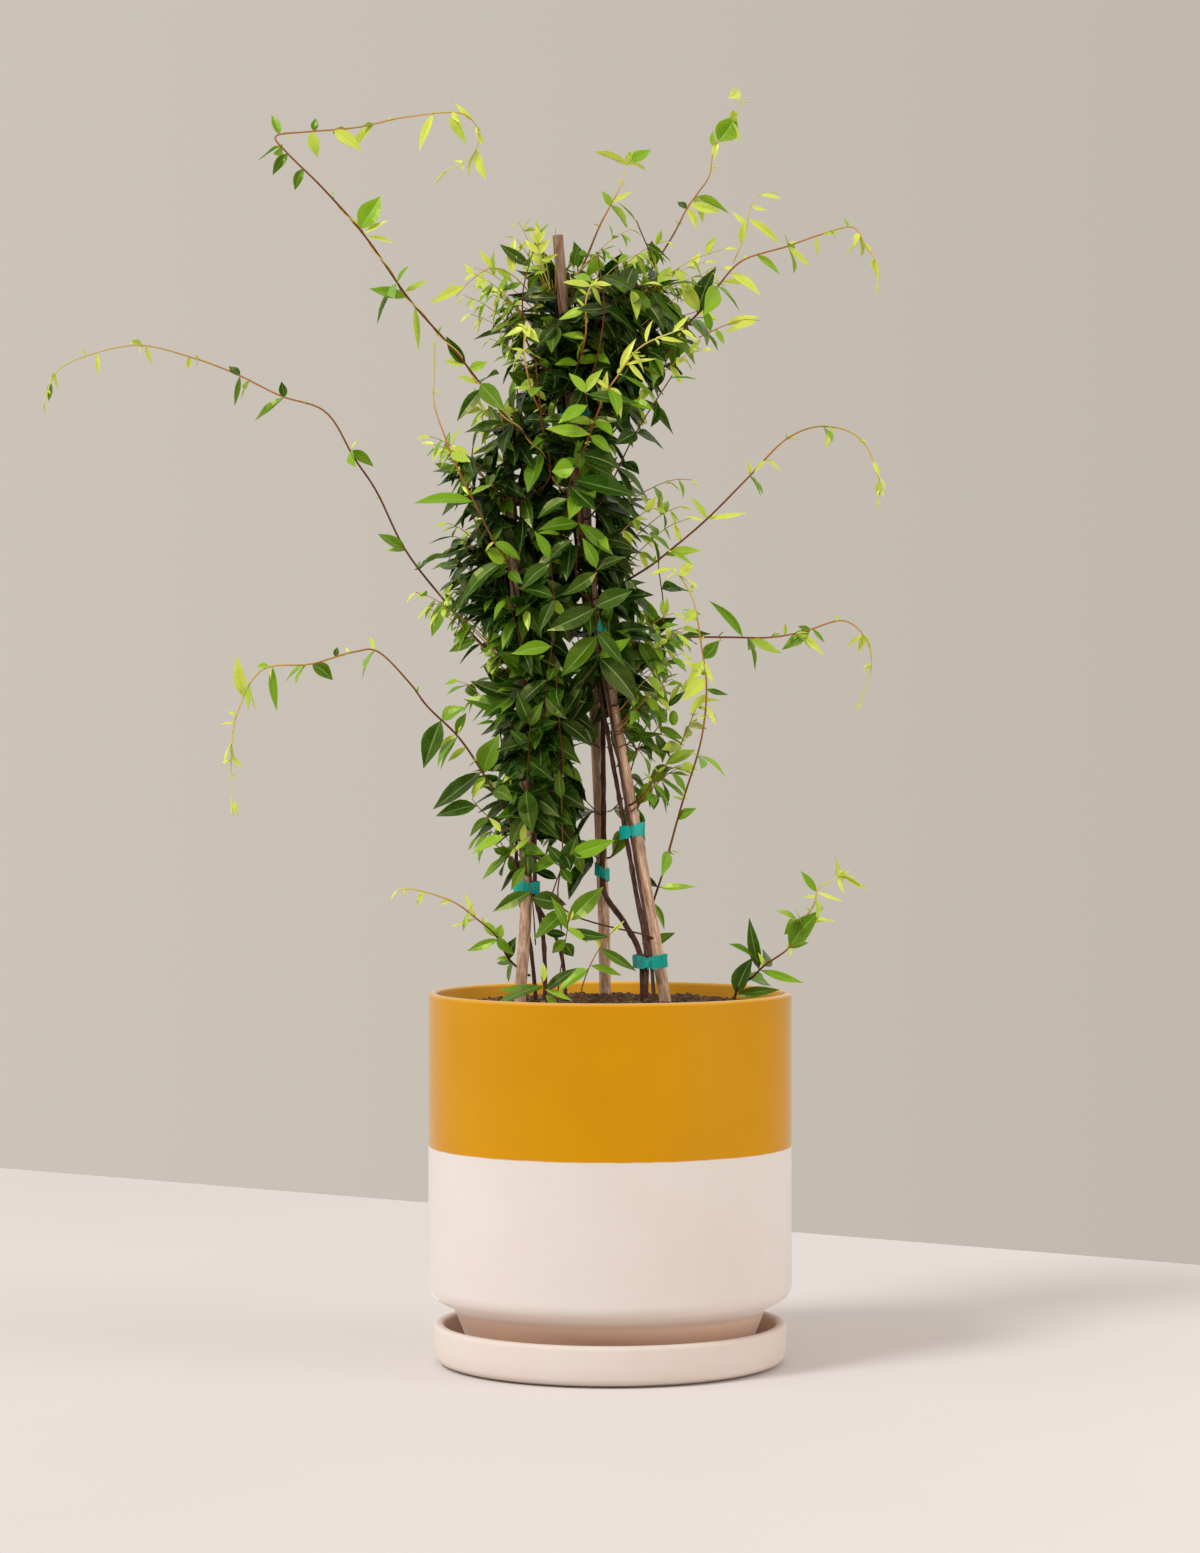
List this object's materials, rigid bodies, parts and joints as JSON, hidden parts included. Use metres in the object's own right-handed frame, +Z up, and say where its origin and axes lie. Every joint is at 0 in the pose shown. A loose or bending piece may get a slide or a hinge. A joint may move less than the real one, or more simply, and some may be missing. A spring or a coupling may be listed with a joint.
{
  "type": "potted carolina jasmine",
  "caption": "Young Carolina jasmine climber tied to bamboo stakes, with long arching shoots, in a round two-tone ceramic pot on a shallow saucer.",
  "frame": {"origin": "middle of the saucer's underside, on the surface that it stands on", "axes": "+Z up along the pot's axis, -Y towards the viewer of the picture, +X to the viewer's right"},
  "size_m": [0.7166, 0.305, 1.0802],
  "materials": {
    "glazed_pot": "smooth satin mustard glaze above, unglazed cream bisque below",
    "saucer": "matt unglazed cream bisque",
    "soil": "loose dark potting soil",
    "bamboo": "dry weathered cane",
    "bark": "thin brown bark",
    "tape": "stretched green plant tape",
    "leaf": "glossy dark green leaf",
    "young_leaf": "bright young leaf on a thin reddish stem"
  },
  "bodies": {
    "root": {"saucer": "saucer", "pot": "glazed_pot", "soil": "soil", "stake_right": "bamboo", "stake_left": "bamboo", "stake_middle": "bamboo", "trunk_left_front": "bark", "trunk_left_back": "bark", "trunk_left_outer": "bark", "trunk_middle": "bark", "trunk_right": "bark", "trunk_right_thin": "bark", "tie_right_low": "tape", "tie_right_mid": "tape", "tie_right_high": "tape", "tie_middle_low": "tape", "tie_left_low": "tape", "tie_left_mid": "tape", "tie_left_high": "tape", "tie_top_low": "tape", "tie_top_high": "tape", "shoot_upper_left": "young_leaf", "shoot_left": "young_leaf", "shoot_lower_left": "young_leaf", "shoot_low_left": "young_leaf", "shoot_right_arch": "young_leaf", "shoot_right_level": "young_leaf", "shoot_climbing": "young_leaf", "shoot_top": "young_leaf", "shoot_top_right": "young_leaf", "shoot_right_top": "young_leaf", "shoot_left_riser": "young_leaf", "shoot_left_inner": "young_leaf", "shoot_front": "young_leaf", "shoot_front_top": "young_leaf", "shoot_front_left": "young_leaf", "shoot_pot_right": "young_leaf", "shoot_right_cluster": "young_leaf", "spray_01": "leaf", "spray_02": "leaf", "spray_03": "leaf", "spray_04": "leaf", "spray_05": "leaf", "spray_06": "leaf", "spray_07": "leaf", "spray_08": "leaf", "spray_09": "leaf", "spray_10": "leaf", "spray_11": "leaf", "spray_12": "leaf", "spray_13": "leaf", "spray_14": "leaf", "spray_15": "leaf", "spray_16": "leaf", "spray_17": "leaf", "spray_18": "leaf", "spray_19": "leaf", "spray_20": "leaf"}
  },
  "joints": []
}
